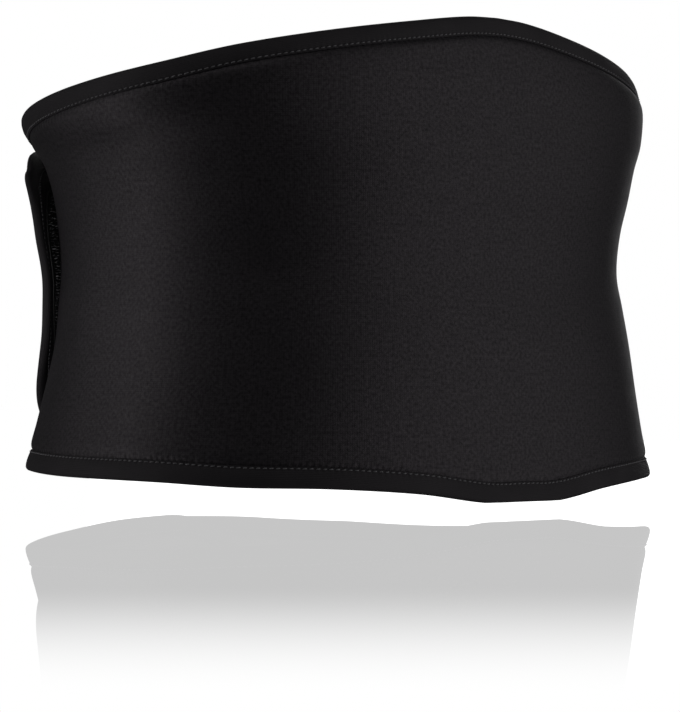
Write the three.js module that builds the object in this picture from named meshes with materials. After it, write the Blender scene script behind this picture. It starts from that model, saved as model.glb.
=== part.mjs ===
// Back support belt: a padded wrap that closes round the waist, with its edges bound in tape and a
// hook tape inside the end of its flap. Millimetres, +Z up. The wearer faces +Y and +X is on the
// wearer's right. The belt stands on its lower edge.
import * as THREE from 'three';

// Form that the middle of the worn belt's wall follows
const halfWidth = 153.7;
const backDepth = 113.3;
const frontDepth = 113.3;
const squareness = 2.4;

// Wrap, measured from the spine along the form
const beltHeight = 229.5;
const flapLength = 590;
const underlapLength = 483;
const wall = 4.5;
const upperCorner = 60;
const lowerCorner = 60;

// Binding tape
const edgeWall = 2;
const tapeThickness = 0.8;
const tapeWidth = 9.5;
const tapeEdgeRound = 0.9;
const swellWidth = 4.7;

// Flap
const flapTaper = 150;
const flapBottomRise = 36;
const flapTopRise = 16;
const flapFlare = 5;
const flareLength = 60;
const rampLength = 45;

// Hook tape
const hookThickness = 1.6;
const hookLength = 70;

// Clearances
const seatGap = 0.3;
const layerGap = 0.8;
const footSink = 0.3;

// Mesh fineness
const runSteps = 70;
const cornerSteps = 7;
const heightSteps = 11;
const loopSteps = 720;

// Sections of the form. Heights are shares of beltHeight, the rest shares of the form's half width
// and depths.
const formSections = [
  { height: 0.0, width: 1.1, back: 1.09, front: 1.1 },
  { height: 0.09, width: 1.058, back: 1.057, front: 1.059 },
  { height: 0.2, width: 1.018, back: 1.039, front: 1.002 },
  { height: 0.33, width: 0.976, back: 1.022, front: 0.95 },
  { height: 0.41, width: 0.96, back: 0.99, front: 0.952 },
  { height: 0.48, width: 0.944, back: 0.967, front: 0.97 },
  { height: 0.57, width: 0.954, back: 0.982, front: 0.978 },
  { height: 0.65, width: 0.982, back: 1.014, front: 0.973 },
  { height: 0.72, width: 1.018, back: 1.018, front: 1.012 },
  { height: 0.78, width: 1.071, back: 1.004, front: 1.094 },
  { height: 0.87, width: 1.079, back: 0.992, front: 1.096 },
  { height: 1.0, width: 0.958, back: 0.93, front: 1.02 },
];

// Edges of the wrap on each side of the spine. Along is a share of half the form's girth, top and
// bottom are shares of beltHeight.
const edgeSections = [
  { along: 0.0, top: 1.0, bottom: 0.0 },
  { along: 0.045, top: 0.996, bottom: 0.0 },
  { along: 0.133, top: 0.974, bottom: 0.022 },
  { along: 0.23, top: 0.945, bottom: 0.035 },
  { along: 0.32, top: 0.912, bottom: 0.039 },
  { along: 0.4, top: 0.877, bottom: 0.048 },
  { along: 0.53, top: 0.84, bottom: 0.054 },
  { along: 0.68, top: 0.797, bottom: 0.061 },
  { along: 0.8, top: 0.765, bottom: 0.046 },
  { along: 0.9, top: 0.738, bottom: 0.028 },
  { along: 1.0, top: 0.72, bottom: 0.02 },
];

// How far the flap's end stands out, from its lower edge to its upper. Height is a share of its
// height there, flare a share of flapFlare.
const flareSections = [
  { height: 0.0, flare: 0.0 },
  { height: 0.2, flare: 0.0 },
  { height: 0.4, flare: 0.25 },
  { height: 0.5, flare: 0.6 },
  { height: 0.6, flare: 0.95 },
  { height: 0.7, flare: 1.12 },
  { height: 0.8, flare: 1.5 },
  { height: 0.88, flare: 2.1 },
  { height: 0.95, flare: 1.9 },
  { height: 1.0, flare: 1.2 },
];

// Depths from the outline: the wall's edge inside the tape, and where its swell starts and ends
const boundEdge = tapeThickness + seatGap;
const swellStart = tapeWidth + seatGap;
const swellEnd = swellStart + swellWidth;

// Returns a function that reads the named columns of a table at any value of its first column.
function readTable(rows, place, names) {
  const places = rows.map((row) => row[place]);
  const values = rows.flatMap((row) => names.map((name) => row[name]));
  const curve = new THREE.CubicInterpolant(places, values, names.length);
  return (at) => [...curve.evaluate(at)];
}

const formShares = readTable(formSections, 'height', ['width', 'back', 'front']);
const edgeShares = readTable(edgeSections, 'along', ['top', 'bottom']);
const flareShares = readTable(flareSections, 'height', ['flare']);

// Radius of a rounded oblong at an angle from its back, for a half width and a depth.
function oblongRadius(angle, width, depth) {
  const across = Math.abs(Math.sin(angle) / width) ** squareness;
  const through = Math.abs(Math.cos(angle) / depth) ** squareness;
  return (across + through) ** (-1 / squareness);
}

// Angle and length so far at even steps round the form's mean section.
function measureLoop() {
  const stations = [];
  let length = 0;
  let last = null;
  for (let step = 0; step <= loopSteps; step += 1) {
    const angle = (step / loopSteps) * 2 * Math.PI;
    const depth = Math.cos(angle) > 0 ? backDepth : frontDepth;
    const radius = oblongRadius(angle, halfWidth, depth);
    const point = new THREE.Vector2(Math.sin(angle), Math.cos(angle)).multiplyScalar(radius);
    length += last ? point.distanceTo(last) : 0;
    last = point;
    stations.push({ angle, length });
  }
  return stations;
}

const loop = measureLoop();
const girth = loop[loopSteps].length;

// Angle round the form at a distance along it from the spine, positive to the wearer's right.
function angleAlong(along) {
  const turns = Math.floor(along / girth);
  const rest = along - turns * girth;
  const next = loop.findIndex((station) => station.length > rest);
  const a = loop[next - 1];
  const b = loop[next];
  const share = (rest - a.length) / (b.length - a.length);
  return turns * 2 * Math.PI + THREE.MathUtils.lerp(a.angle, b.angle, share);
}

// Point on the form's surface.
function formPoint(along, height) {
  const angle = angleAlong(along);
  const [width, back, front] = formShares(height / beltHeight);
  const depth = Math.cos(angle) > 0 ? back * backDepth : front * frontDepth;
  const radius = oblongRadius(angle, width * halfWidth, depth);
  return new THREE.Vector3(radius * Math.sin(angle), -radius * Math.cos(angle), height);
}

// Direction out of the form's surface.
function formNormal(along, height) {
  const reach = 1;
  const run = formPoint(along + reach, height).sub(formPoint(along - reach, height));
  const climb = formPoint(along, height + reach).sub(formPoint(along, height - reach));
  return run.cross(climb).normalize();
}

// Share from 0 to 1 of how far the flap's taper has run at a distance along the wrap.
function taperShare(along) {
  return THREE.MathUtils.smoothstep(along, flapLength - flapTaper, flapLength);
}

function topHeight(along) {
  const [top] = edgeShares(Math.abs(along) / (girth / 2));
  return top * beltHeight + flapTopRise * taperShare(along);
}

function bottomHeight(along) {
  const [, bottom] = edgeShares(Math.abs(along) / (girth / 2));
  return bottom * beltHeight - footSink + flapBottomRise * taperShare(along);
}

// How far the middle of the wall stands out past the form: none but on the flap, most near its end.
function layerOffset(along, height) {
  const covered = girth - underlapLength;
  const ramp = THREE.MathUtils.smoothstep(along, covered - rampLength - tapeWidth, covered - tapeWidth / 2);
  const rise = wall + hookThickness + seatGap + layerGap;
  const low = bottomHeight(flapLength);
  const high = topHeight(flapLength);
  const [flare] = flareShares((height - low) / (high - low));
  const endShare = THREE.MathUtils.clamp(1 - (flapLength - along) / flareLength, 0, 1);
  return ramp * rise + flapFlare * flare * endShare ** 2;
}

// Point of the worn belt for a place on its flat pattern and an offset out from its middle.
function wornPoint(along, height, offset) {
  const out = layerOffset(along, height) + offset;
  const point = formPoint(along, height).addScaledVector(formNormal(along, height), out);
  point.z = Math.max(point.z, 0);
  return point;
}

// How far a rounded corner draws in an edge, at a distance from the end of the wrap.
function cornerDrop(radius, inset) {
  const across = Math.max(radius - inset, 0);
  return radius - Math.sqrt(radius ** 2 - across ** 2);
}

// Columns of the flat pattern from the underlap's end to the flap's end, close together at the
// corners, with the draw of the upper and lower corners.
function patternColumns() {
  const reach = Math.max(upperCorner, lowerCorner);
  const insets = [];
  for (let step = 0; step < cornerSteps; step += 1) {
    insets.push(reach * (1 - Math.cos((step / cornerSteps) * (Math.PI / 2))));
  }
  const column = (along, inset) => ({
    along,
    upper: cornerDrop(upperCorner, inset),
    lower: cornerDrop(lowerCorner, inset),
  });
  const opening = insets.map((inset) => column(inset - underlapLength, inset));
  const closing = insets.map((inset) => column(flapLength - inset, inset)).reverse();
  const middle = [];
  for (let step = 0; step <= runSteps; step += 1) {
    const along = THREE.MathUtils.lerp(reach - underlapLength, flapLength - reach, step / runSteps);
    middle.push(column(along, reach));
  }
  return [...opening, ...middle, ...closing];
}

const columns = patternColumns();
const lastColumn = columns.length - 1;

// The wrap's outline on the flat pattern, anticlockwise from outside, from the underlap's lower
// corner: lower edge, flap's end, upper edge, underlap's end.
function flatOutline() {
  const lower = columns.map(({ along, lower }) => new THREE.Vector2(along, bottomHeight(along) + lower));
  const upper = columns.map(({ along, upper }) => new THREE.Vector2(along, topHeight(along) - upper));
  const rising = [];
  const falling = [];
  for (let step = 1; step < heightSteps; step += 1) {
    rising.push(lower[lastColumn].clone().lerp(upper[lastColumn], step / heightSteps));
    falling.push(upper[0].clone().lerp(lower[0], step / heightSteps));
  }
  return [...lower, ...rising, ...upper.reverse(), ...falling];
}

const outline = flatOutline();
const outlineSize = outline.length;

// Direction across the flat pattern from each outline point to the inside.
function inwardDirections() {
  return outline.map((point, index) => {
    const before = outline[(index + outlineSize - 1) % outlineSize];
    const after = outline[(index + 1) % outlineSize];
    const arriving = point.clone().sub(before).normalize();
    const leaving = after.clone().sub(point).normalize();
    const way = arriving.add(leaving).normalize();
    return new THREE.Vector2(-way.y, way.x);
  });
}

const inward = inwardDirections();

// The outline moved inside by a distance.
function insetOutline(distance) {
  return outline.map((point, index) => point.clone().addScaledVector(inward[index], distance));
}

// Collects worn points and faces and turns them into a geometry.
class Skin {
  constructor() {
    this.places = [];
    this.faces = [];
  }

  addPoint(point) {
    this.places.push(...point.toArray());
    return this.places.length / 3 - 1;
  }

  add(flat, offset) {
    return this.addPoint(wornPoint(flat.x, flat.y, offset));
  }

  quad(a, b, c, d) {
    this.faces.push(a, b, c, a, c, d);
  }

  geometry() {
    const geometry = new THREE.BufferGeometry();
    geometry.setAttribute('position', new THREE.Float32BufferAttribute(this.places, 3));
    geometry.setIndex(this.faces);
    geometry.computeVertexNormals();
    return geometry;
  }
}

// Outline point at the top of a column of the flat pattern.
function upperIndex(column) {
  return 2 * lastColumn + heightSteps - column;
}

// One face of the wrap: rings that follow the outline round a grid of the middle. Facing is 1 for
// the outside and -1 for the inside. Returns the outer ring's points.
function addWrapFace(skin, facing) {
  const halves = [edgeWall / 2, edgeWall / 2, wall / 2];
  const flats = [boundEdge, swellStart, swellEnd].map((depth) => insetOutline(depth));
  const rings = flats.map((flat, ring) => flat.map((point) => skin.add(point, facing * halves[ring])));
  const quad = (a, b, c, d) => (facing > 0 ? skin.quad(a, b, c, d) : skin.quad(a, d, c, b));
  for (let ring = 0; ring < rings.length - 1; ring += 1) {
    for (let index = 0; index < outlineSize; index += 1) {
      const next = (index + 1) % outlineSize;
      quad(rings[ring][index], rings[ring][next], rings[ring + 1][next], rings[ring + 1][index]);
    }
  }
  const edge = rings[rings.length - 1];
  const grid = columns.map((_, column) => {
    const line = [edge[column]];
    for (let row = 1; row < heightSteps; row += 1) {
      const inside = column > 0 && column < lastColumn;
      const onEdge = column === 0 ? outlineSize - row : lastColumn + row;
      const flat = flatGrid(flats[flats.length - 1], column, row);
      line.push(inside ? skin.add(flat, (facing * wall) / 2) : edge[onEdge]);
    }
    return [...line, edge[upperIndex(column)]];
  });
  for (let column = 0; column < lastColumn; column += 1) {
    for (let row = 0; row < heightSteps; row += 1) {
      const [left, right] = [grid[column], grid[column + 1]];
      quad(left[row], right[row], right[row + 1], left[row + 1]);
    }
  }
  return rings[0];
}

// Place on the flat pattern in a column and a row, between the two sides of an inset outline.
function flatGrid(inset, column, row) {
  return inset[column].clone().lerp(inset[upperIndex(column)], row / heightSteps);
}

function wrapGeometry() {
  const skin = new Skin();
  const outside = addWrapFace(skin, 1);
  const inside = addWrapFace(skin, -1);
  for (let index = 0; index < outlineSize; index += 1) {
    const next = (index + 1) % outlineSize;
    skin.quad(inside[index], inside[next], outside[next], outside[index]);
  }
  return skin.geometry();
}

// Section of the tape folded over an edge, as depth from the edge and offset from the middle.
function tapeSection() {
  const clear = edgeWall / 2 + seatGap;
  const skinOffset = clear + tapeThickness;
  return [
    [tapeWidth, skinOffset],
    [tapeEdgeRound, skinOffset],
    [0, clear],
    [0, -clear],
    [tapeEdgeRound, -skinOffset],
    [tapeWidth, -skinOffset],
    [tapeWidth, -clear],
    [tapeThickness, -clear],
    [tapeThickness, clear],
    [tapeWidth, clear],
  ];
}

// A length of tape along the outline, from one outline point to another, short of both by half a
// seat gap. Its faces are split as the wrap's are, from the edge inward, so that they lie parallel.
function tapeGeometry(first, last) {
  const skin = new Skin();
  const section = tapeSection();
  const sections = [];
  for (let index = first; index <= last; index += 1) {
    const here = index % outlineSize;
    const nudge = index === first ? 1 : index === last ? -1 : 0;
    const beside = (index + nudge) % outlineSize;
    const share = nudge ? seatGap / 2 / outline[here].distanceTo(outline[beside]) : 0;
    const point = outline[here].clone().lerp(outline[beside], share);
    const way = inward[here].clone().lerp(inward[beside], share).normalize();
    sections.push(section.map(([depth, offset]) => skin.add(point.clone().addScaledVector(way, depth), offset)));
  }
  for (let step = 0; step < sections.length - 1; step += 1) {
    for (let corner = 0; corner < section.length; corner += 1) {
      const next = (corner + 1) % section.length;
      const [here, there] = [sections[step], sections[step + 1]];
      if (section[next][0] < section[corner][0]) {
        skin.quad(here[next], there[next], there[corner], here[corner]);
      } else {
        skin.quad(here[corner], here[next], there[next], there[corner]);
      }
    }
  }
  addTapeEnd(skin, sections[0], false);
  addTapeEnd(skin, sections[sections.length - 1], true);
  return skin.geometry();
}

// Closes a length of tape: two flat sides and the fold between them.
function addTapeEnd(skin, ring, finish) {
  const quads = [[0, 9, 8, 1], [1, 8, 8, 2], [2, 8, 7, 3], [3, 7, 7, 4], [4, 7, 6, 5]];
  for (const [a, b, c, d] of quads) {
    const corners = finish ? [ring[d], ring[c], ring[b], ring[a]] : [ring[a], ring[b], ring[c], ring[d]];
    const distinct = corners.filter((corner, index) => corners.indexOf(corner) === index);
    for (let third = 2; third < distinct.length; third += 1) {
      skin.faces.push(distinct[0], distinct[third - 1], distinct[third]);
    }
  }
}

// Point of the wrap's grid between two columns, at an offset from the middle of the wall.
function gridPoint(inset, column, row, offset) {
  const before = Math.min(Math.floor(column), lastColumn - 1);
  const [here, there] = [before, before + 1].map((whole) => {
    const flat = flatGrid(inset, whole, row);
    return wornPoint(flat.x, flat.y, offset);
  });
  return here.lerp(there, column - before);
}

// Columns that the hook tape covers: one at its start, then the wrap's own to the flap's end.
function hookColumns() {
  const start = flapLength - swellEnd - hookLength;
  const next = columns.findIndex((column) => column.along > start);
  const span = columns[next].along - columns[next - 1].along;
  const covered = [next - (columns[next].along - start) / span];
  for (let column = next; column <= lastColumn; column += 1) {
    covered.push(column);
  }
  return covered;
}

// The hook tape: a thin pad on the flap's inner face, inside the swell along its bound edges.
function hookGeometry() {
  const skin = new Skin();
  const outer = -wall / 2 - seatGap;
  const inset = insetOutline(swellEnd);
  const layers = [outer, outer - hookThickness].map((offset) =>
    hookColumns().map((column) => {
      const line = [];
      for (let row = 0; row <= heightSteps; row += 1) {
        line.push(skin.addPoint(gridPoint(inset, column, row, offset)));
      }
      return line;
    }),
  );
  joinLayers(skin, layers[0], layers[1]);
  return skin.geometry();
}

// Faces of a slab between two grids of points, the first of them the outer one.
function joinLayers(skin, outer, inner) {
  const last = outer.length - 1;
  const top = heightSteps;
  for (let column = 0; column < last; column += 1) {
    const [near, far] = [outer[column], outer[column + 1]];
    const [nearBack, farBack] = [inner[column], inner[column + 1]];
    for (let row = 0; row < top; row += 1) {
      skin.quad(near[row], far[row], far[row + 1], near[row + 1]);
      skin.quad(nearBack[row], nearBack[row + 1], farBack[row + 1], farBack[row]);
    }
    skin.quad(nearBack[0], farBack[0], far[0], near[0]);
    skin.quad(near[top], far[top], farBack[top], nearBack[top]);
  }
  for (let row = 0; row < top; row += 1) {
    skin.quad(outer[0][row], outer[0][row + 1], inner[0][row + 1], inner[0][row]);
    skin.quad(inner[last][row], inner[last][row + 1], outer[last][row + 1], outer[last][row]);
  }
}

// A named piece in its own material.
function piece(name, geometry, color, roughness) {
  const material = new THREE.MeshStandardMaterial({ color, roughness, metalness: 0 });
  const mesh = new THREE.Mesh(geometry, material);
  mesh.name = name;
  return mesh;
}

// Outline points where the lengths of tape meet, past the corners of both ends.
const lowerRight = lastColumn - cornerSteps;
const upperRight = lastColumn + heightSteps + cornerSteps;
const upperLeft = lastColumn * 2 + heightSteps - cornerSteps;
const lowerLeft = outlineSize + cornerSteps;

const belt = new THREE.Group();
belt.add(piece('neoprene_wrap', wrapGeometry(), 0x27262a, 0.85));
belt.add(piece('bottom_binding', tapeGeometry(cornerSteps, lowerRight), 0x141315, 0.75));
belt.add(piece('flap_end_binding', tapeGeometry(lowerRight, upperRight), 0x141315, 0.75));
belt.add(piece('top_binding', tapeGeometry(upperRight, upperLeft), 0x141315, 0.75));
belt.add(piece('underlap_end_binding', tapeGeometry(upperLeft, lowerLeft), 0x141315, 0.75));
belt.add(piece('hook_tape', hookGeometry(), 0x0e0e0f, 0.6));

// The origin is under the middle of the belt, on the surface that it stands on.
const middle = new THREE.Box3().setFromObject(belt).getCenter(new THREE.Vector3());
belt.position.set(-middle.x, -middle.y, 0);
belt.updateMatrixWorld(true);

export default belt;
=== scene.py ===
# %% [markdown]
# # Back support belt
# A back support is a padded wrap that closes round the waist with hook tape. This one stands on its
# own, closed, and is seen from behind and a little to the wearer's left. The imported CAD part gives
# the size and the place of every piece. Each soft piece is made again here with a finer mesh and a
# cloth finish, and it stands for its solid, which stays behind it for collision.

import math

import bpy
import numpy as np
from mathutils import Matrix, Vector


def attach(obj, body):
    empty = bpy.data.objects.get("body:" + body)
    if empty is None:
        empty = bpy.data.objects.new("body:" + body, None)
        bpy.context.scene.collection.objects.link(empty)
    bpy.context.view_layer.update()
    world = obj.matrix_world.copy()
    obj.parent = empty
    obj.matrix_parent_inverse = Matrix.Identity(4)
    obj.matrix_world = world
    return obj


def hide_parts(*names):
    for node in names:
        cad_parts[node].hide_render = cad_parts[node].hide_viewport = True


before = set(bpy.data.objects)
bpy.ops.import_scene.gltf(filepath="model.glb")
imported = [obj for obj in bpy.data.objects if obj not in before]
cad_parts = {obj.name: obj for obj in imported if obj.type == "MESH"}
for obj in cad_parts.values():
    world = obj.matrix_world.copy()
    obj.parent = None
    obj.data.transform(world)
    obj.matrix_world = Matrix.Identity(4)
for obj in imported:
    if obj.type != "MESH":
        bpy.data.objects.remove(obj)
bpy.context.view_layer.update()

# %% [markdown]
# ## The flat pattern
# The real belt is cut flat from a laminate of foam rubber between two knits, and bends to the waist
# when it is worn. So it could be sculpted, or bent with a modifier, but here each point gets a place
# on the flat pattern first: millimetres along from the spine, and a height. A second step then wears
# it. Every seam, stitch and hook can be placed on the flat, where a maker would measure it.

# %% Sizes of the pattern, in millimetres
BELT_HEIGHT = 229.5
FLAP_LENGTH = 590.0
UNDERLAP_LENGTH = 483.0
UPPER_CORNER = 60.0
LOWER_CORNER = 60.0
FLAP_TAPER = 150.0
FLAP_BOTTOM_RISE = 36.0
FLAP_TOP_RISE = 16.0
FOOT_SINK = 0.3
HALF_WALL = 2.25
HALF_EDGE = 1.0
TAPE_WIDTH = 9.5

# %% Tables of the form, the edges and the flap's flare
# Height, then the form's half width and its depths behind and in front, as shares.
FORM = [
    (0.0, 1.1, 1.09, 1.1),
    (0.09, 1.058, 1.057, 1.059),
    (0.2, 1.018, 1.039, 1.002),
    (0.33, 0.976, 1.022, 0.95),
    (0.41, 0.96, 0.99, 0.952),
    (0.48, 0.944, 0.967, 0.97),
    (0.57, 0.954, 0.982, 0.978),
    (0.65, 0.982, 1.014, 0.973),
    (0.72, 1.018, 1.018, 1.012),
    (0.78, 1.071, 1.004, 1.094),
    (0.87, 1.079, 0.992, 1.096),
    (1.0, 0.958, 0.93, 1.02),
]
# Share of half the girth from the spine, then the top and bottom edges as shares of the height.
EDGES = [
    (0.0, 1.0, 0.0),
    (0.045, 0.996, 0.0),
    (0.133, 0.974, 0.022),
    (0.23, 0.945, 0.035),
    (0.32, 0.912, 0.039),
    (0.4, 0.877, 0.048),
    (0.53, 0.84, 0.054),
    (0.68, 0.797, 0.061),
    (0.8, 0.765, 0.046),
    (0.9, 0.738, 0.028),
    (1.0, 0.72, 0.02),
]
# Share of the height of the flap's end, then how far it stands out there.
FLARE = [
    (0.0, 0.0),
    (0.2, 0.0),
    (0.4, 0.25),
    (0.5, 0.6),
    (0.6, 0.95),
    (0.7, 1.12),
    (0.8, 1.5),
    (0.88, 2.1),
    (0.95, 1.9),
    (1.0, 1.2),
]


def read_table(rows):
    """A smooth curve through a table, read at any value of its first column."""
    table = np.array(rows, float)
    places, values = table[:, 0], table[:, 1:]
    last = len(places) - 1

    def curve(at):
        at = np.clip(np.asarray(at, float), places[0], places[-1])
        after = np.clip(np.searchsorted(places, at, side="right"), 1, last)
        before = after - 1
        outer_left = np.where(before > 0, before - 1, after)
        outer_right = np.where(after < last, after + 1, before)
        t0, t1 = places[before], places[after]
        wide_left = (t1 - t0) / 2 / (t0 - places[outer_left])
        wide_right = (t1 - t0) / 2 / (places[outer_right] - t1)
        p = (at - t0) / (t1 - t0)
        shares = (
            (outer_left, -wide_left * p**3 + 2 * wide_left * p**2 - wide_left * p),
            (before, (1 + wide_left) * p**3 - (1.5 + 2 * wide_left) * p**2 + (wide_left - 0.5) * p + 1),
            (after, (-1 - wide_right) * p**3 + (1.5 + wide_right) * p**2 + 0.5 * p),
            (outer_right, wide_right * p**3 - wide_right * p**2),
        )
        return sum(values[row] * share[..., None] for row, share in shares)

    return curve


form_shares = read_table(FORM)
edge_shares = read_table(EDGES)
flare_shares = read_table(FLARE)
print("tables read:", len(FORM), "form rows,", len(EDGES), "edge rows,", len(FLARE), "flare rows")

# %% [markdown]
# ## The form of the waist
# A waist is neither a circle nor a box. A rounded oblong, the curve that lies between the two, comes
# close with one number for its squareness. The table above makes it narrow at the waist and wide at
# the hips and ribs, which is what gives such a belt its hourglass look.

# %% Wear the pattern on the form
HALF_WIDTH = 153.7
HALF_DEPTH = 113.3
SQUARENESS = 2.4
RAMP_LENGTH = 45.0
LAYER_RISE = 7.2
FLAP_FLARE = 5.0
FLARE_LENGTH = 60.0
MILLIMETRE = 0.001


def oblong_radius(angle, width, depth):
    """Radius of the rounded oblong, with the angle measured from the spine."""
    across = np.abs(np.sin(angle) / width) ** SQUARENESS
    through = np.abs(np.cos(angle) / depth) ** SQUARENESS
    return (across + through) ** (-1 / SQUARENESS)


loop_angles = np.linspace(0, 2 * math.pi, 721)
loop_radii = oblong_radius(loop_angles, HALF_WIDTH, HALF_DEPTH)
loop_points = loop_radii[:, None] * np.stack([np.sin(loop_angles), np.cos(loop_angles)], 1)
loop_steps = np.linalg.norm(np.diff(loop_points, axis=0), axis=1)
loop_lengths = np.concatenate([[0], np.cumsum(loop_steps)])
GIRTH = loop_lengths[-1]


def smooth_step(value, low, high):
    share = np.clip((value - low) / (high - low), 0, 1)
    return share * share * (3 - 2 * share)


def form_point(along, height):
    turns = np.floor(along / GIRTH)
    angle = turns * 2 * math.pi + np.interp(along - turns * GIRTH, loop_lengths, loop_angles)
    width, back, front = np.moveaxis(form_shares(height / BELT_HEIGHT), -1, 0)
    depth = np.where(np.cos(angle) > 0, back, front) * HALF_DEPTH
    radius = oblong_radius(angle, width * HALF_WIDTH, depth)
    return np.stack([radius * np.sin(angle), -radius * np.cos(angle), height + 0 * angle], -1)


def form_normal(along, height):
    run = form_point(along + 1, height) - form_point(along - 1, height)
    climb = form_point(along, height + 1) - form_point(along, height - 1)
    normal = np.cross(run, climb)
    return normal / np.linalg.norm(normal, axis=-1, keepdims=True)


def top_height(along):
    taper = smooth_step(along, FLAP_LENGTH - FLAP_TAPER, FLAP_LENGTH)
    return edge_shares(np.abs(along) / (GIRTH / 2))[..., 0] * BELT_HEIGHT + FLAP_TOP_RISE * taper


def bottom_height(along):
    taper = smooth_step(along, FLAP_LENGTH - FLAP_TAPER, FLAP_LENGTH)
    bottom = edge_shares(np.abs(along) / (GIRTH / 2))[..., 1] * BELT_HEIGHT
    return bottom - FOOT_SINK + FLAP_BOTTOM_RISE * taper


def layer_offset(along, height):
    """How far the flap stands out over the underlap, most near its peeled end."""
    covered = GIRTH - UNDERLAP_LENGTH
    ramp = smooth_step(along, covered - RAMP_LENGTH - TAPE_WIDTH, covered - TAPE_WIDTH / 2)
    low, high = bottom_height(np.array(FLAP_LENGTH)), top_height(np.array(FLAP_LENGTH))
    flare = flare_shares((height - low) / (high - low))[..., 0]
    near_end = np.clip(1 - (FLAP_LENGTH - along) / FLARE_LENGTH, 0, 1)
    return ramp * LAYER_RISE + FLAP_FLARE * flare * near_end**2


def wear(flat, offset):
    """Points in metres for places on the flat pattern and offsets out from the wall's middle."""
    along, height = flat[..., 0], flat[..., 1]
    out = (layer_offset(along, height) + offset)[..., None]
    point = form_point(along, height) + form_normal(along, height) * out
    point[..., 2] = np.maximum(point[..., 2], 0)
    return (point + SHIFT) * MILLIMETRE


SHIFT = np.array([0.0094, -3.5421, 0.0])
print("girth at the waist, mm:", round(GIRTH, 1))

# %% [markdown]
# ## The outline
# The maker's knife follows one closed line round the pattern, with rounded corners at both ends. It
# could be drawn as a curve object. Here it is a list of small steps, with the direction to the inside
# at each, so that a depth from the edge finds any point of the bound border.

# %% Columns and outline of the flat pattern
RUN_STEPS = 440
CORNER_STEPS = 22
HEIGHT_STEPS = 60


def corner_drop(radius, inset):
    return radius - np.sqrt(radius**2 - np.maximum(radius - inset, 0) ** 2)


reach = max(UPPER_CORNER, LOWER_CORNER)
corner_insets = reach * (1 - np.cos(np.arange(CORNER_STEPS) / CORNER_STEPS * math.pi / 2))
middle_run = np.linspace(reach - UNDERLAP_LENGTH, FLAP_LENGTH - reach, RUN_STEPS + 1)
column_along = np.concatenate(
    [corner_insets - UNDERLAP_LENGTH, middle_run, (FLAP_LENGTH - corner_insets)[::-1]]
)
column_inset = np.concatenate([corner_insets, np.full(RUN_STEPS + 1, reach), corner_insets[::-1]])
LAST = len(column_along) - 1

lower_line = np.stack(
    [column_along, bottom_height(column_along) + corner_drop(LOWER_CORNER, column_inset)], 1
)
upper_line = np.stack(
    [column_along, top_height(column_along) - corner_drop(UPPER_CORNER, column_inset)], 1
)
rise = (np.arange(1, HEIGHT_STEPS) / HEIGHT_STEPS)[:, None]
flap_end_line = lower_line[-1] + (upper_line[-1] - lower_line[-1]) * rise
underlap_end_line = upper_line[0] + (lower_line[0] - upper_line[0]) * rise
outline = np.concatenate([lower_line, flap_end_line, upper_line[::-1], underlap_end_line])


def upper_part(line):
    """The part of a list round the outline that runs above, from the underlap's end to the flap's."""
    return line[LAST + HEIGHT_STEPS : 2 * LAST + HEIGHT_STEPS + 1][::-1]


def inward_ways(line):
    """Direction across a closed flat line to its inside, at each point."""
    arriving = line - np.roll(line, 1, axis=0)
    leaving = np.roll(line, -1, axis=0) - line
    arriving /= np.linalg.norm(arriving, axis=1, keepdims=True)
    leaving /= np.linalg.norm(leaving, axis=1, keepdims=True)
    way = arriving + leaving
    way /= np.linalg.norm(way, axis=1, keepdims=True)
    return np.stack([-way[:, 1], way[:, 0]], 1)


outline_ways = inward_ways(outline)
outline_steps = np.linalg.norm(np.roll(outline, -1, axis=0) - outline, axis=1)
outline_runs = np.concatenate([[0], np.cumsum(outline_steps)])
EDGE_LENGTH = outline_runs[-1]
print("outline:", len(outline), "points,", round(EDGE_LENGTH), "mm of bound edge")

# %% [markdown]
# ## Finishes
# Each finish starts from the real material. Its colour is written as a designer would, in hex, and
# turned to linear light by one function. One helper adds a node with its settings and its links, so
# a finish reads as a list of what feeds what.

# %% Helpers for finishes


def linear(hex_colour):
    """Linear RGBA of an sRGB hex colour."""
    parts = [int(hex_colour[i : i + 2], 16) / 255 for i in (1, 3, 5)]
    return tuple(c / 12.92 if c <= 0.04045 else ((c + 0.055) / 1.055) ** 2.4 for c in parts) + (1,)


def node(tree, kind, inputs=None, **settings):
    """Adds a node, sets its properties, and sets or links its inputs."""
    made = tree.nodes.new(kind)
    for name, value in settings.items():
        setattr(made, name, value)
    for socket, value in (inputs or {}).items():
        if isinstance(value, bpy.types.NodeSocket):
            tree.links.new(value, made.inputs[socket])
        else:
            made.inputs[socket].default_value = value
    return made


def blank_finish(name):
    finish = bpy.data.materials.new(name)
    finish.use_nodes = True
    finish.node_tree.nodes.clear()
    return finish, finish.node_tree


# %% [markdown]
# ## Knit jersey on foam rubber
# The wrap's faces are a fine polyester jersey, knitted and then glued to the foam. The loops lie in
# wales about 0.7 mm apart. That is close to the size of a pixel here, so they are drawn 1.1 mm
# apart. The jersey is nearly black and slightly mottled where loops lie uneven. What the eye sees on
# it is a broad soft gloss, stronger where the fibres lie flat. An image of real jersey could give all
# this, but noise has no seam and works at any size, so one noise drives tone, gloss and a low bump
# together. Near the stitches the knit puckers, and a second map places the puckers by their distance
# along the edge.

# %% Finish of the jersey
# All in millimetres, apart from the wave texture's own period and a colour
WALE = 1.1
COURSE = 0.9
FIBRE_CLUMP = 1.6
UNEVEN_PATCH = 9.0
STITCH_PITCH = 2.8
STITCH_DEPTH = 8.6
PUCKER_START = 9.5
PUCKER_END = 13.5
WAVE_PERIOD = 2 * math.pi / 20
FIBRE_GLOSS = "#fff2fb"


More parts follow.
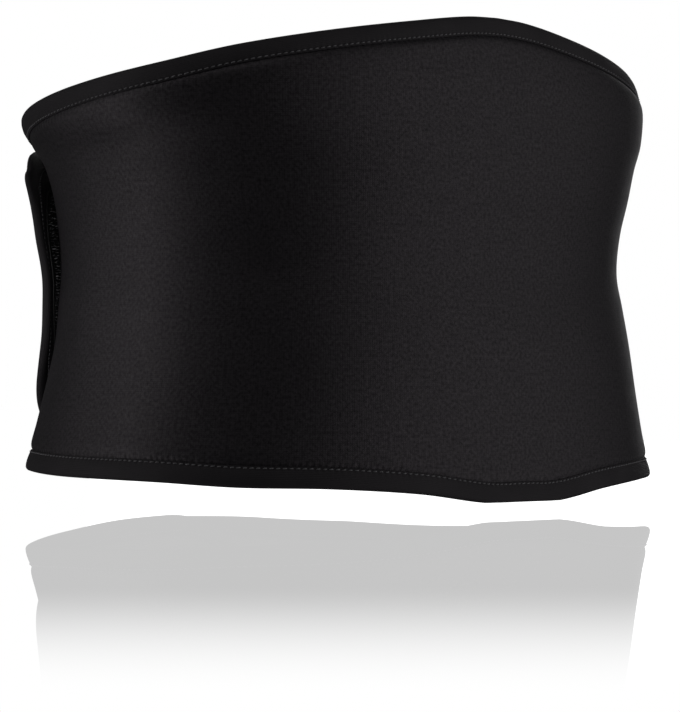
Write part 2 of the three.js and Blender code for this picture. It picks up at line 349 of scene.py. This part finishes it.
def knit_jersey(name, dark, light):
    finish, tree = blank_finish(name)
    flat = node(tree, "ShaderNodeUVMap", uv_map="Flat").outputs["UV"]
    seam = node(tree, "ShaderNodeUVMap", uv_map="Seam").outputs["UV"]
    loops = node(
        tree,
        "ShaderNodeTexWave",
        {
            "Vector": flat,
            "Scale": WAVE_PERIOD / WALE,
            "Distortion": 1.2,
            "Detail": 1.0,
            "Detail Scale": 2.0,
        },
        bands_direction="X",
    ).outputs["Fac"]
    rows = node(
        tree,
        "ShaderNodeTexWave",
        {
            "Vector": flat,
            "Scale": WAVE_PERIOD / COURSE,
            "Distortion": 1.5,
            "Detail": 1.0,
            "Detail Scale": 2.0,
        },
        bands_direction="Y",
    ).outputs["Fac"]
    grain = node(
        tree,
        "ShaderNodeTexNoise",
        {"Vector": flat, "Scale": 1 / FIBRE_CLUMP, "Detail": 2.0, "Roughness": 0.6},
    ).outputs["Fac"]
    clouds = node(
        tree, "ShaderNodeTexNoise", {"Vector": flat, "Scale": 1 / UNEVEN_PATCH, "Detail": 2.0}
    ).outputs["Fac"]
    knit = node(tree, "ShaderNodeMath", {0: loops, 1: rows}, operation="MULTIPLY").outputs[0]
    mottle = node(
        tree, "ShaderNodeMix", {"Factor": 0.3, 2: grain, 3: clouds}, data_type="FLOAT"
    ).outputs[0]
    tone = node(
        tree, "ShaderNodeMix", {"Factor": 0.35, 2: mottle, 3: knit}, data_type="FLOAT"
    ).outputs[0]
    colour = node(
        tree, "ShaderNodeMapRange", {"Value": tone, "From Min": 0.25, "From Max": 0.65}
    ).outputs[0]
    shade = node(
        tree, "ShaderNodeMix", {"Factor": colour, 6: linear(dark), 7: linear(light)}, data_type="RGBA"
    ).outputs[2]
    rough = node(
        tree, "ShaderNodeMapRange", {"Value": clouds, "To Min": 0.44, "To Max": 0.6}
    ).outputs[0]
    shine = node(
        tree,
        "ShaderNodeMapRange",
        {"Value": grain, "From Min": 0.3, "From Max": 0.7, "To Min": 0.3, "To Max": 0.7},
    ).outputs[0]
    pucker = node(
        tree,
        "ShaderNodeTexWave",
        {"Vector": seam, "Scale": WAVE_PERIOD / STITCH_PITCH},
        bands_direction="X",
    ).outputs["Fac"]
    depth = node(tree, "ShaderNodeSeparateXYZ", {0: seam}).outputs["Y"]
    near_seam = node(
        tree,
        "ShaderNodeMapRange",
        {
            "Value": depth,
            "From Min": PUCKER_START,
            "From Max": PUCKER_END,
            "To Min": 1.0,
            "To Max": 0.0,
        },
        interpolation_type="SMOOTHSTEP",
    ).outputs[0]
    gathered = node(tree, "ShaderNodeMath", {0: pucker, 1: near_seam}, operation="MULTIPLY").outputs[0]
    puckered = node(
        tree, "ShaderNodeBump", {"Strength": 0.35, "Distance": 0.0004, "Height": gathered}
    )
    looped = node(
        tree,
        "ShaderNodeBump",
        {"Strength": 0.4, "Distance": 0.0001, "Height": knit, "Normal": puckered.outputs[0]},
    )
    fuzzy = node(
        tree,
        "ShaderNodeBump",
        {"Strength": 0.5, "Distance": 0.0001, "Height": grain, "Normal": looped.outputs[0]},
    )
    cloth = node(
        tree,
        "ShaderNodeBsdfPrincipled",
        {
            "Base Color": shade,
            "Roughness": rough,
            "IOR": 1.5,
            "Specular IOR Level": shine,
            "Specular Tint": linear(FIBRE_GLOSS),
            "Normal": fuzzy.outputs[0],
        },
    )
    node(tree, "ShaderNodeOutputMaterial", {"Surface": cloth.outputs[0]})
    return finish


jersey = knit_jersey("Knit jersey on foam rubber", "#1c1b1d", "#2a292c")
print("finish:", jersey.name)

# %% [markdown]
# ## The wrap
# The wrap is 4.5 mm of foam laminate. Its edge is pressed to 2 mm under the tape, and just inside the
# tape the foam springs back, first steep, then a little proud of its full thickness. A subdivision
# surface could round a coarse box into this, but rings at chosen depths put the groove where the tape
# ends. Inside the rings, a grid of 2 to 3 mm covers both faces. A slow unevenness of up to a quarter
# of a millimetre keeps the cloth from looking moulded.

# %% Mesh of the wrap
# Depth from the outline and half the wall's thickness there, in millimetres
WALL_PROFILE = [
    (1.0, 0.8),
    (2.2, 1.0),
    (5.0, 1.0),
    (8.6, 1.0),
    (9.4, 1.02),
    (9.9, 1.15),
    (10.4, 1.5),
    (11.0, 1.85),
    (11.9, 2.15),
    (13.2, 2.36),
    (15.0, 2.42),
    (17.5, 2.36),
    (21.0, 2.26),
]
SWELL_START = 10.0
SWELL_END = 21.0
FAR_FROM_SEAM = 99.0


def unevenness(flat):
    """Slow swell of the foam, in millimetres."""
    along, height = flat[..., 0], flat[..., 1]
    first = np.sin(along / 23.0 + 1.3 * np.sin(height / 31.0))
    second = np.sin(height / 17.0 + 0.9 * np.sin(along / 41.0) + 2.0)
    third = np.sin(along / 9.7 + height / 13.1 + 1.1)
    return 0.10 * first + 0.08 * second + 0.05 * third


class Cloth:
    """Collects flat places and faces, and makes one object of them."""

    def __init__(self):
        self.flats, self.offsets, self.seams, self.faces, self.size = [], [], [], [], 0

    def add(self, flat, offset, seam=None):
        """Adds points and returns their numbers, in the shape of the places given."""
        shape = flat.shape[:-1]
        count = int(np.prod(shape))
        if seam is None:
            seam = np.zeros(flat.shape) + (0, FAR_FROM_SEAM)
        self.flats.append(flat.reshape(-1, 2))
        self.offsets.append(np.broadcast_to(offset, shape).reshape(-1))
        self.seams.append(seam.reshape(-1, 2))
        numbers = np.arange(self.size, self.size + count).reshape(shape)
        self.size += count
        return numbers

    def quads(self, a, b, c, d):
        self.faces.append(np.stack([a, b, c, d], -1).reshape(-1, 4))

    def grid(self, numbers, closed=False, flip=False):
        """Quads between neighbours of a grid of points, closed where its rows form rings."""
        a, b = numbers[:-1], numbers[1:]
        if closed:
            a2, b2 = np.roll(a, -1, axis=1), np.roll(b, -1, axis=1)
        else:
            a, a2, b, b2 = a[:, :-1], a[:, 1:], b[:, :-1], b[:, 1:]
        if flip:
            self.quads(a, b, b2, a2)
        else:
            self.quads(a, a2, b2, b)

    def make(self, name, finish):
        flat = np.concatenate(self.flats)
        return mesh_object(
            name,
            wear(flat, np.concatenate(self.offsets)),
            np.concatenate(self.faces),
            finish,
            {"Flat": flat, "Seam": np.concatenate(self.seams)},
        )


def mesh_object(name, points, faces, finish, maps=None):
    """A smooth mesh object from points in metres and quads, with a map for each named layer."""
    mesh = bpy.data.meshes.new(name)
    mesh.from_pydata(points.tolist(), [], faces.tolist())
    for layer, places in (maps or {}).items():
        corners = np.zeros(len(mesh.loops), int)
        mesh.loops.foreach_get("vertex_index", corners)
        made = mesh.uv_layers.new(name=layer)
        made.data.foreach_set("uv", places[corners].astype(np.float32).ravel())
    mesh.polygons.foreach_set("use_smooth", [True] * len(mesh.polygons))
    mesh.materials.append(finish)
    mesh.update()
    made = bpy.data.objects.new(name, mesh)
    bpy.context.scene.collection.objects.link(made)
    triangles = sum(len(p.vertices) - 2 for p in mesh.polygons)
    print(f"{name}: {len(mesh.vertices)} points, {triangles} triangles")
    return made


cloth = Cloth()
outer_rings = []
for facing in (1, -1):
    rings = []
    for depth, half in WALL_PROFILE:
        flat = outline + outline_ways * depth
        proud = half + unevenness(flat) * smooth_step(depth, SWELL_START, SWELL_END)
        seam = np.stack([outline_runs[:-1], np.full(len(outline), depth)], 1)
        rings.append(cloth.add(flat, facing * proud, seam))
    cloth.grid(np.stack(rings), closed=True, flip=facing < 0)
    outer_rings.append(rings[0])
    edge = outline + outline_ways * WALL_PROFILE[-1][0]
    low, high = edge[: LAST + 1], upper_part(edge)
    rows = np.arange(1, HEIGHT_STEPS) / HEIGHT_STEPS
    inner = low[None, 1:-1] + (high - low)[None, 1:-1] * rows[:, None, None]
    bulge = facing * (WALL_PROFILE[-1][1] + unevenness(inner))
    ring = rings[-1]
    bottom_row = ring[: LAST + 1]
    top_row = upper_part(ring)
    right_side = ring[LAST + 1 : LAST + HEIGHT_STEPS]
    left_side = ring[2 * LAST + HEIGHT_STEPS + 1 :][::-1]
    body = cloth.add(inner, bulge)
    full = np.vstack([bottom_row, np.column_stack([left_side, body, right_side]), top_row])
    cloth.grid(full, flip=facing < 0)
cloth.grid(np.stack([outer_rings[1], outer_rings[0]]), closed=True)
wrap = cloth.make("wrap", jersey)
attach(wrap, "root")
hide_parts("neoprene_wrap")

# %% [markdown]
# ## Edge tape
# A soft knitted tape is folded over the raw edge all the way round and sewn through, so it shows as
# a smooth band 9.5 mm wide on both faces. A curve with a bevel profile would do for a cord, but this
# section is flat, so it is swept along the outline point by point. Each needle hole pulls the tape in,
# and four steps for each stitch are enough to show that. The tape is matt, because its yarn is fuzzy.
# It is ribbed along its length, too fine to see from here, so the ribs are drawn 0.8 mm apart.

# %% Finish of the edge tape
# In millimetres
TAPE_RIB = 0.8
TAPE_FIBRE = 0.9
TAPE_PATCH = 25.0


def knitted_tape():
    finish, tree = blank_finish("Knitted polyester edge tape")
    flat = node(tree, "ShaderNodeUVMap", uv_map="Flat").outputs["UV"]
    ribs = node(
        tree,
        "ShaderNodeTexWave",
        {"Vector": flat, "Scale": WAVE_PERIOD / TAPE_RIB, "Distortion": 0.6, "Detail": 1.0},
        bands_direction="Y",
    ).outputs["Fac"]
    fibres = node(
        tree,
        "ShaderNodeTexNoise",
        {"Vector": flat, "Scale": 1 / TAPE_FIBRE, "Detail": 3.0, "Roughness": 0.7},
    ).outputs["Fac"]
    patches = node(
        tree, "ShaderNodeTexNoise", {"Vector": flat, "Scale": 1 / TAPE_PATCH, "Detail": 2.0}
    ).outputs["Fac"]
    tone = node(
        tree, "ShaderNodeMix", {"Factor": 0.5, 2: fibres, 3: patches}, data_type="FLOAT"
    ).outputs[0]
    share = node(
        tree, "ShaderNodeMapRange", {"Value": tone, "From Min": 0.3, "From Max": 0.7}
    ).outputs[0]
    shade = node(
        tree,
        "ShaderNodeMix",
        {"Factor": share, 6: linear("#2c2b2d"), 7: linear("#393739")},
        data_type="RGBA",
    ).outputs[2]
    ribbed = node(tree, "ShaderNodeBump", {"Strength": 0.4, "Distance": 0.00015, "Height": ribs})
    fibrous = node(
        tree,
        "ShaderNodeBump",
        {"Strength": 0.4, "Distance": 0.0002, "Height": fibres, "Normal": ribbed.outputs[0]},
    )
    rough = node(
        tree, "ShaderNodeMapRange", {"Value": fibres, "To Min": 0.5, "To Max": 0.7}
    ).outputs[0]
    cloth = node(
        tree,
        "ShaderNodeBsdfPrincipled",
        {
            "Base Color": shade,
            "Roughness": rough,
            "IOR": 1.5,
            "Specular IOR Level": 0.2,
            "Specular Tint": linear(FIBRE_GLOSS),
            "Normal": fibrous.outputs[0],
        },
    )
    node(tree, "ShaderNodeOutputMaterial", {"Surface": cloth.outputs[0]})
    return finish


edge_tape_finish = knitted_tape()
print("finish:", edge_tape_finish.name)

# %% Mesh of the edge tape
# Depth from the edge and offset from the wall's middle, from the tape's free edge to the fold
TAPE_AT_STITCH = 1.6
TAPE_HALF = [
    (9.35, 1.0),
    (9.6, 1.25),
    (9.5, 1.55),
    (9.1, 1.66),
    (STITCH_DEPTH, TAPE_AT_STITCH),
    (7.8, 1.76),
    (6.5, 1.96),
    (4.6, 2.1),
    (2.6, 2.06),
    (1.1, 1.75),
    (0.35, 1.15),
    (0.04, 0.45),
]
# Where the tape's inner face lies against the pressed edge
TAPE_LINING = [(1.2, -0.9), (1.2, 0.9)]
STEPS_PER_STITCH = 4
NEEDLE_PULL = 0.3
PULL_REACH = 1.2

stitch_count = round(EDGE_LENGTH / STITCH_PITCH)
stitch_pitch = EDGE_LENGTH / stitch_count


def on_outline(run):
    """Flat place and inward direction at distances along the outline."""
    run = run % EDGE_LENGTH
    wrapped = [np.vstack([part, part[:1]]) for part in (outline, outline_ways)]
    place, way = [
        np.stack([np.interp(run, outline_runs, part[:, axis]) for axis in (0, 1)], -1)
        for part in wrapped
    ]
    return place, way / np.linalg.norm(way, axis=-1, keepdims=True)


def needle_pull(run, depth):
    """How far the needle holes pull the tape in, in millimetres."""
    hole = (0.5 - 0.5 * np.cos(2 * math.pi * run / stitch_pitch)) ** 2
    return NEEDLE_PULL * hole * np.exp(-(((depth - STITCH_DEPTH) / PULL_REACH) ** 2))


tape = Cloth()
section = TAPE_HALF + [(depth, -offset) for depth, offset in TAPE_HALF[::-1]] + TAPE_LINING
tape_runs = np.arange(stitch_count * STEPS_PER_STITCH) * stitch_pitch / STEPS_PER_STITCH
place, way = on_outline(tape_runs)
rows = []
for depth, offset in section:
    flat = place + way * depth
    pull = needle_pull(tape_runs, depth) if abs(offset) > HALF_EDGE else 0
    rows.append(tape.add(flat, offset - math.copysign(1, offset) * pull))
tape.grid(np.column_stack([*rows, rows[0]]).T, closed=True)
tape_world = wear(np.concatenate(tape.flats), np.concatenate(tape.offsets))
section_run = np.concatenate([[0], np.cumsum(np.hypot(*np.diff(np.array(section), axis=0).T))])
ribbon_map = np.stack([np.tile(tape_runs, len(section)), np.repeat(section_run, len(tape_runs))], 1)
edge_tape = mesh_object(
    "edge_tape", tape_world, np.concatenate(tape.faces), edge_tape_finish, {"Flat": ribbon_map}
)
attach(edge_tape, "root")
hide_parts("bottom_binding", "flap_end_binding", "top_binding", "underlap_end_binding")
print("stitches:", stitch_count, "at", round(stitch_pitch, 2), "mm")

# %% [markdown]
# ## Stitches
# The tape is sewn with one row of lock stitches. On each face the thread comes up from one needle
# hole, lies on the tape for some 2 mm and goes down the next, with a slight slant. From here each is
# a light dot. Bump could fake that, but they are short tubes here, thick in the middle and thin where
# they dive, so they hold up close to and throw shadows of their own.

# %% Finish and mesh of the stitches
THREAD_SIDES = 6
# Place along the stitch, height over the tape and radius, in millimetres
STITCH_PATH = [
    (-0.95, -0.35, 0.13),
    (-0.7, 0.04, 0.24),
    (0.0, 0.2, 0.29),
    (0.7, 0.04, 0.24),
    (0.95, -0.35, 0.13),
]
STITCH_SLANT = 0.14
THREAD_GRAIN_PER_METRE = 1800.0


def spun_thread():
    finish, tree = blank_finish("Spun polyester thread")
    place = node(tree, "ShaderNodeTexCoord").outputs["Object"]
    twist = node(
        tree,
        "ShaderNodeTexNoise",
        {"Vector": place, "Scale": THREAD_GRAIN_PER_METRE, "Detail": 2.0},
    ).outputs["Fac"]
    shade = node(
        tree,
        "ShaderNodeMix",
        {"Factor": twist, 6: linear("#4a494c"), 7: linear("#8a888c")},
        data_type="RGBA",
    ).outputs[2]
    twisted = node(tree, "ShaderNodeBump", {"Strength": 0.5, "Distance": 0.0001, "Height": twist})
    thread = node(
        tree,
        "ShaderNodeBsdfPrincipled",
        {
            "Base Color": shade,
            "Roughness": 0.5,
            "IOR": 1.55,
            "Sheen Weight": 0.1,
            "Normal": twisted.outputs[0],
        },
    )
    node(tree, "ShaderNodeOutputMaterial", {"Surface": thread.outputs[0]})
    return finish


def unit(vectors):
    return vectors / np.linalg.norm(vectors, axis=-1, keepdims=True)


def tube_faces(count, rings, sides):
    """Quads of many short closed tubes whose points are numbered tube by tube."""
    base = np.arange(count)[:, None, None] * rings * sides
    ring = np.arange(rings - 1)[None, :, None] * sides
    side = np.arange(sides)[None, None, :]
    ahead = (side + 1) % sides
    here, beyond = base + ring, base + ring + sides
    walls = np.stack([here + side, here + ahead, beyond + ahead, beyond + side], -1)
    caps = []
    for first, order in ((0, (3, 2, 1, 0)), ((rings - 1) * sides, (0, 1, 2, 3))):
        for start in range(0, sides - 2, 2):
            corners = np.array([0, start + 1, start + 2, (start + 3) % sides])[list(order)]
            caps.append(base[:, 0] + first + corners)
    return np.concatenate([walls.reshape(-1, 4), *caps])


def tube_points(centre, across, up, radius, sides):
    """Rings of points round each place of a tube, from two directions across it."""
    angles = (np.arange(sides) / sides * 2 * math.pi)[:, None]
    ring = across[..., None, :] * np.cos(angles) + up[..., None, :] * np.sin(angles)
    return (centre[..., None, :] + ring * (radius * MILLIMETRE)[:, None, None]).reshape(-1, 3)


thread_finish = spun_thread()
stitch_runs = np.arange(stitch_count) * stitch_pitch
stitch_along, stitch_lift, stitch_radius = np.array(STITCH_PATH).T
for facing, side_name in ((1, "outside"), (-1, "inside")):
    runs = stitch_runs[:, None] + stitch_along
    place, way = on_outline(runs)
    flat = place + way * (STITCH_DEPTH + STITCH_SLANT * stitch_along[:, None])
    offset = facing * (TAPE_AT_STITCH + stitch_lift)
    centre = wear(flat, offset)
    across = unit(wear(flat + way * 0.5, offset) - wear(flat - way * 0.5, offset))
    up = unit(wear(flat, offset + 0.5) - wear(flat, offset - 0.5))
    row = mesh_object(
        "stitches_" + side_name,
        tube_points(centre, across, up, stitch_radius, THREAD_SIDES),
        tube_faces(stitch_count, len(STITCH_PATH), THREAD_SIDES),
        thread_finish,
    )
    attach(row, "root")

# %% [markdown]
# ## Hook tape
# The closure is a woven nylon tape with rows of stiff hooks, sewn inside the flap's end. It holds on
# the knit of the underlap anywhere, so there is no loop tape. Particles could scatter the hooks, but
# a woven tape has them in rows, so the base is laid out on the flat pattern, as the hooks are later.

# %% Finish and mesh of the hook tape
# In millimetres, apart from the two counts. The base sinks into the jersey that it is sewn on.
HOOK_LENGTH = 70.0
HOOK_INSET = 14.5
HOOK_BASE = 0.7
BASE_SINK = 0.3
BASE_THREAD = 0.6
BASE_COLUMNS = 48
BASE_ROWS = 70


def woven_nylon():
    finish, tree = blank_finish("Woven nylon tape")
    flat = node(tree, "ShaderNodeUVMap", uv_map="Flat").outputs["UV"]
    warp, weft = [
        node(
            tree,
            "ShaderNodeTexWave",
            {"Vector": flat, "Scale": WAVE_PERIOD / BASE_THREAD},
            bands_direction=direction,
        ).outputs["Fac"]
        for direction in ("X", "Y")
    ]
    weave = node(tree, "ShaderNodeMath", {0: warp, 1: weft}, operation="MULTIPLY").outputs[0]
    shade = node(
        tree,
        "ShaderNodeMix",
        {"Factor": weave, 6: linear("#0e0e0f"), 7: linear("#1c1c1e")},
        data_type="RGBA",
    ).outputs[2]
    woven = node(tree, "ShaderNodeBump", {"Strength": 0.6, "Distance": 0.0002, "Height": weave})
    nylon = node(
        tree,
        "ShaderNodeBsdfPrincipled",
        {"Base Color": shade, "Roughness": 0.6, "IOR": 1.53, "Normal": woven.outputs[0]},
    )
    node(tree, "ShaderNodeOutputMaterial", {"Surface": nylon.outputs[0]})
    return finish


hook_line = outline + outline_ways * HOOK_INSET
hook_low = hook_line[: LAST + 1]
hook_high = upper_part(hook_line)


def hook_place(along, share):
    """Flat place on the hook tape at a distance along and a share of its height there."""
    low = np.interp(along, hook_low[:, 0], hook_low[:, 1])
    high = np.interp(along, hook_high[:, 0], hook_high[:, 1])
    return np.stack([along + 0 * share, low + (high - low) * share], -1)


hook_end = FLAP_LENGTH - HOOK_INSET
hook_start = hook_end - HOOK_LENGTH
column_shares = np.sin(np.linspace(0, 1, BASE_COLUMNS) * math.pi / 2)
row_shares = np.linspace(0, 1, BASE_ROWS)
base_flat = hook_place((hook_start + HOOK_LENGTH * column_shares)[:, None], row_shares[None, :])
hook_base = Cloth()
under = hook_base.add(base_flat, -HALF_WALL + BASE_SINK)
over = hook_base.add(base_flat, -HALF_WALL - unevenness(base_flat) - HOOK_BASE)
hook_base.grid(under, flip=True)
hook_base.grid(over)
border = [
    (under[0, :-1], under[0, 1:], over[0, 1:], over[0, :-1]),
    (under[-1, 1:], under[-1, :-1], over[-1, :-1], over[-1, 1:]),
    (under[1:, 0], under[:-1, 0], over[:-1, 0], over[1:, 0]),
    (under[:-1, -1], under[1:, -1], over[1:, -1], over[:-1, -1]),
]
for corners in border:
    hook_base.quads(*corners)
hook_tape = hook_base.make("hook_tape_base", woven_nylon())
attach(hook_tape, "root")
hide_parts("hook_tape")

# %% [markdown]
# ## Hooks
# The hooks are bent monofilament, about 1.1 mm high and cut open on one side. Use bends them. Some
# of them are painted pale, as painted glints, so that they show as scattered specks in the dark gap.
# Each is a short tube of six rings, in rows that lean this way and that in turn, and chance moves each
# root.

# %% Finish and mesh of the hooks
# Place along the tape, height over it and radius, in millimetres
HOOK_PATH = [
    (0.0, -0.1, 0.11),
    (0.0, 0.5, 0.1),
    (0.1, 0.9, 0.1),
    (0.38, 1.14, 0.09),
    (0.66, 1.04, 0.08),
    (0.78, 0.78, 0.05),
]
HOOK_PITCH = 1.7
HOOK_MARGIN = 3.0
HOOK_STRAY = 0.6
HOOK_SIDES = 4
HOOK_MOTTLE_PER_METRE = 600.0


def drawn_nylon():
    finish, tree = blank_finish("Drawn nylon monofilament")
    place = node(tree, "ShaderNodeTexCoord").outputs["Object"]
    cloud = node(
        tree, "ShaderNodeTexNoise", {"Vector": place, "Scale": HOOK_MOTTLE_PER_METRE}
    ).outputs["Fac"]
    # Painted glints: where the noise is high a hook is painted pale grey, so it shows as a bright speck
    # in the dark gap
    painted_glint_share = node(
        tree, "ShaderNodeMapRange", {"Value": cloud, "From Min": 0.48, "From Max": 0.66}
    ).outputs[0]
    shade = node(
        tree,
        "ShaderNodeMix",
        {"Factor": painted_glint_share, 6: linear("#141415"), 7: linear("#bcbcc0")},
        data_type="RGBA",
    ).outputs[2]
    rough = node(
        tree, "ShaderNodeMapRange", {"Value": cloud, "To Min": 0.2, "To Max": 0.4}
    ).outputs[0]
    nylon = node(
        tree, "ShaderNodeBsdfPrincipled", {"Base Color": shade, "Roughness": rough, "IOR": 1.53}
    )
    node(tree, "ShaderNodeOutputMaterial", {"Surface": nylon.outputs[0]})
    return finish


chance = np.random.default_rng(7)
hook_columns = np.arange(hook_start + HOOK_MARGIN, hook_end - HOOK_MARGIN, HOOK_PITCH)
hook_rows = np.arange(0, BELT_HEIGHT, HOOK_PITCH)
along, height = [part.ravel() for part in np.meshgrid(hook_columns, hook_rows, indexing="ij")]
lean = np.where(np.round(height / HOOK_PITCH) % 2 == 0, 1.0, -1.0)
low = np.interp(along, hook_low[:, 0], hook_low[:, 1]) + HOOK_MARGIN
high = np.interp(along, hook_high[:, 0], hook_high[:, 1]) - HOOK_MARGIN
inside = (height > low) & (height < high)
along, height, lean = along[inside], height[inside], lean[inside]
roots = np.stack([along, height], -1) + chance.uniform(-HOOK_STRAY, HOOK_STRAY, (len(along), 2))
hook_run, hook_rise, hook_radius = np.array(HOOK_PATH).T
flat = roots[:, None, :] + (lean[:, None] * hook_run)[..., None] * np.array([1.0, 0.0])
offset = -(HALF_WALL + unevenness(roots) + HOOK_BASE)[:, None] - hook_rise
centre = wear(flat, offset)
side = unit(wear(flat + (0, 0.5), offset) - wear(flat - (0, 0.5), offset))
tangent = unit(np.gradient(centre, axis=1))
back = np.cross(tangent, side)
hooks = mesh_object(
    "hooks",
    tube_points(centre, side, back, hook_radius, HOOK_SIDES),
    tube_faces(len(roots), len(HOOK_PATH), HOOK_SIDES),
    drawn_nylon(),
)
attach(hooks, "root")
print("hooks:", len(roots))

# %% [markdown]
# ## Floor and background
# A catalogue picture often stands the goods on a clear acrylic sheet over white card, so the belt has
# a pale reflection below it that fades toward the camera. A glossy floor could give that, but its
# light would also wash out the dark cloth. So the floor is two faces, a clear one that the belt
# stands on and a white one below it that mirrors a share of the light, and the belt itself doesn't
# see them. For the same reason the background is white to the eye and dim as a light.

# %% Floor
# In metres. The reflection fades from the first distance to the second, toward the camera's side.
FLOOR_HALF = 6.0
SHEET_DEPTH = 0.0045
FADE_START = 0.6
FADE_END = 0.9
REFLECTION = 0.443
CAMERA_SIDE = math.radians(-43.1)
TOWARD_CAMERA = (math.sin(CAMERA_SIDE), -math.cos(CAMERA_SIDE), 0.0)
WHITE = (1, 1, 1, 1)


def clear_face():
    finish, tree = blank_finish("Clear acrylic sheet, top face")
    clear = node(tree, "ShaderNodeBsdfTransparent", {"Color": WHITE})
    node(tree, "ShaderNodeOutputMaterial", {"Surface": clear.outputs[0]})
    return finish


def white_face():
    finish, tree = blank_finish("Clear acrylic sheet, face laid on white card")
    card = node(tree, "ShaderNodeEmission", {"Color": WHITE, "Strength": 1.0})
    mirror = node(tree, "ShaderNodeBsdfGlossy", {"Color": WHITE, "Roughness": 0.0})
    place = node(tree, "ShaderNodeTexCoord").outputs["Object"]
    toward = node(
        tree, "ShaderNodeVectorMath", {0: place, 1: TOWARD_CAMERA}, operation="DOT_PRODUCT"
    ).outputs["Value"]
    fade = node(
        tree,
        "ShaderNodeMapRange",
        {
            "Value": toward,
            "From Min": FADE_START,
            "From Max": FADE_END,
            "To Min": REFLECTION,
            "To Max": 0.0,
        },
        interpolation_type="SMOOTHSTEP",
    ).outputs[0]
    surface = node(tree, "ShaderNodeMixShader", {0: fade, 1: card.outputs[0], 2: mirror.outputs[0]})
    node(tree, "ShaderNodeOutputMaterial", {"Surface": surface.outputs[0]})
    return finish


floor_corners = [(-1, -1), (1, -1), (1, 1), (-1, 1)]
floor_points = [
    (x * FLOOR_HALF, y * FLOOR_HALF, z) for z in (0.0, -SHEET_DEPTH) for x, y in floor_corners
]
floor_mesh = bpy.data.meshes.new("floor")
floor_mesh.from_pydata(floor_points, [], [(0, 1, 2, 3), (4, 5, 6, 7)])
floor_mesh.materials.append(clear_face())
floor_mesh.materials.append(white_face())
floor_mesh.polygons[1].material_index = 1
floor = bpy.data.objects.new("floor", floor_mesh)
bpy.context.scene.collection.objects.link(floor)
floor.visible_diffuse = floor.visible_glossy = floor.visible_shadow = False
print("floor:", 2 * FLOOR_HALF, "m wide, reflecting", REFLECTION)

# %% Background
DIM_STRENGTH = 0.036
world = bpy.data.worlds.new("White background")
bpy.context.scene.world = world
world.use_nodes = True
tree = world.node_tree
tree.nodes.clear()
path = node(tree, "ShaderNodeLightPath")
seen = node(
    tree,
    "ShaderNodeMath",
    {0: path.outputs["Is Camera Ray"], 1: path.outputs["Is Singular Ray"]},
    operation="MAXIMUM",
).outputs[0]
dim = node(tree, "ShaderNodeBackground", {"Color": WHITE, "Strength": DIM_STRENGTH})
white = node(tree, "ShaderNodeBackground", {"Color": WHITE, "Strength": 1.0})
sky = node(tree, "ShaderNodeMixShader", {0: seen, 1: dim.outputs[0], 2: white.outputs[0]})
node(tree, "ShaderNodeOutputWorld", {"Surface": sky.outputs[0]})
print("background: white to the eye,", DIM_STRENGTH, "as a light")

# %% [markdown]
# ## Camera
# The photograph looks at the belt from its back and left, from almost level, with a long lens from
# well away. Here the camera is 5 cm above the floor and aims a little up, at the belt's lower half.

# %% Camera
CAMERA_AT = Vector((-0.9785, -1.0491, 0.0525))
CAMERA_AIM = Vector((-0.0012, -0.0013, 0.0696))
FOCAL_LENGTH = 144.2
camera = bpy.data.objects.new("Camera", bpy.data.cameras.new("Camera"))
bpy.context.scene.collection.objects.link(camera)
camera.location = CAMERA_AT
camera.rotation_euler = (CAMERA_AIM - CAMERA_AT).to_track_quat("-Z", "Y").to_euler()
camera.data.lens = FOCAL_LENGTH
bpy.context.scene.camera = camera
print("camera:", round((CAMERA_AIM - CAMERA_AT).length, 2), "m away")

# %% [markdown]
# ## Lights
# Black cloth is drawn by its gloss, so each softbox is placed by the stripe that it makes. A narrow
# one at the far left gives the bright stripe beside the flap, a broad one at the right the even grey,
# and between the two the cloth stays almost black. Both are tall, so that a leaning wall is as bright
# as an upright one. Weak ones above and below lift the edges, one at the far side shows the front in
# other views, and a narrow lamp reaches into the gap under the flap.

# %% Lights
AIM_HEIGHT = 0.11


def softbox(name, bearing, distance, height, width, tall, power):
    """A soft rectangular light. Its bearing is in degrees from the camera's, positive to the right."""
    angle = math.radians(bearing) + CAMERA_SIDE
    light = bpy.data.lights.new(name, "AREA")
    light.shape, light.size, light.size_y, light.energy = "RECTANGLE", width, tall, power
    made = bpy.data.objects.new(name, light)
    bpy.context.scene.collection.objects.link(made)
    made.location = (math.sin(angle) * distance, -math.cos(angle) * distance, height)
    aim = Vector((0, 0, AIM_HEIGHT)) - made.location
    made.rotation_euler = aim.to_track_quat("-Z", "Y").to_euler()
    return made


softbox("left softbox", -79, 1.3, 0.11, 0.45, 3.0, 4.74)
softbox("right softbox", 72, 1.5, 0.11, 1.9, 3.0, 7.64)
softbox("overhead softbox", -12, 0.7, 1.4, 0.8, 0.8, 1.0)
softbox("far side softbox", 170, 1.6, 0.55, 1.2, 1.4, 5.0)
softbox("low left reflector", -60, 0.6, -0.6, 0.7, 0.7, 0.24)
softbox("low right reflector", 60, 0.6, -0.6, 0.7, 0.7, 0.24)

# %% Lamp into the gap
GAP_AT = Vector((-0.118, 0.096, 0.09))
LAMP_AT = Vector((-0.98, -1.0, 0.2))
gap_lamp = bpy.data.lights.new("gap lamp", "SPOT")
gap_lamp.energy = 14.0
gap_lamp.shadow_soft_size = 0.03
gap_lamp.spot_size = math.radians(6.5)
gap_lamp.spot_blend = 1.0
lamp = bpy.data.objects.new("gap lamp", gap_lamp)
bpy.context.scene.collection.objects.link(lamp)
lamp.location = LAMP_AT
lamp.rotation_euler = (GAP_AT - LAMP_AT).to_track_quat("-Z", "Y").to_euler()
bpy.context.scene.view_settings.view_transform = "Standard"
